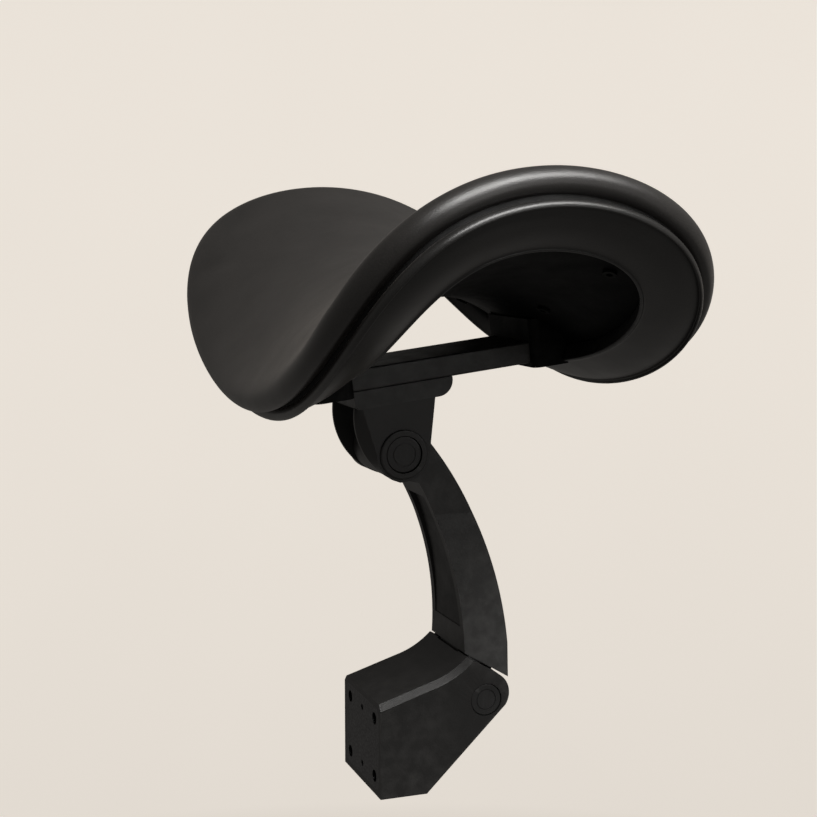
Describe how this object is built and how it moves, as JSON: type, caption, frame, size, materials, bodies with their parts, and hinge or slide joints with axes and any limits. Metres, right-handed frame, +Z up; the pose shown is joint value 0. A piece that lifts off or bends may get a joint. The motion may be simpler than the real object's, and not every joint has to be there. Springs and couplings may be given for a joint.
{
  "type": "chair headrest attachment",
  "caption": "Pivoting chair headrest: a saddle-shaped black leather pad on a curved arm with two friction hinges and a bolt-on bracket.",
  "frame": {"origin": "centre of the bracket's flat mounting face", "axes": "+X to the sitter's left, -Y to the front of the chair, out of the mounting face, +Z up"},
  "size_m": [0.308, 0.1639, 0.271],
  "materials": {
    "leather": "satin",
    "foam": "matte",
    "moulding": "matte",
    "casting": "satin",
    "steel": "satin",
    "brass": "satin",
    "rubber": "matte"
  },
  "bodies": {
    "bracket": {"bracket_body": "casting", "backing_plate": "steel", "plate_screws": "steel", "stop_pads": "rubber", "swing_pin": "steel", "swing_nut": "steel", "swing_spring_washers": "steel", "swing_cap_left": "moulding", "swing_cap_right": "moulding"},
    "arm": {"arm_body": "casting", "arm_front_cover": "moulding", "tilt_bush_left": "moulding", "tilt_bush_right": "moulding", "swing_bush_left": "moulding", "swing_bush_right": "moulding"},
    "headrest": {"cushion_cover": "leather", "foam_pad": "foam", "carrier_shell": "moulding", "groove_strip": "rubber", "rim_cover": "leather", "rim_trim": "moulding", "back_panel": "moulding", "panel_screws": "steel", "strut_bar": "casting", "strut_shoe_front": "moulding", "strut_shoe_rear": "moulding", "strut_screws": "steel", "strut_inserts": "brass", "nut_plate": "steel", "knuckle_plate": "casting", "knuckle_screws": "steel", "cheek_left": "casting", "cheek_right": "casting", "cheek_screws": "steel", "tilt_pin": "steel", "tilt_nut": "steel", "tilt_spring_washers": "steel", "tilt_cap_left": "moulding", "tilt_cap_right": "moulding"}
  },
  "joints": [
    {"name": "arm_swing", "type": "hinge", "parent": "bracket", "child": "arm", "pos_m": [0, 0.0495, 0.0185], "axis": [-1, 0, 0], "range_deg": [0, 40]},
    {"name": "headrest_tilt", "type": "hinge", "parent": "arm", "child": "headrest", "pos_m": [0, 0.0125, 0.1295], "axis": [1, 0, 0], "range_deg": [-30, 85]}
  ]
}
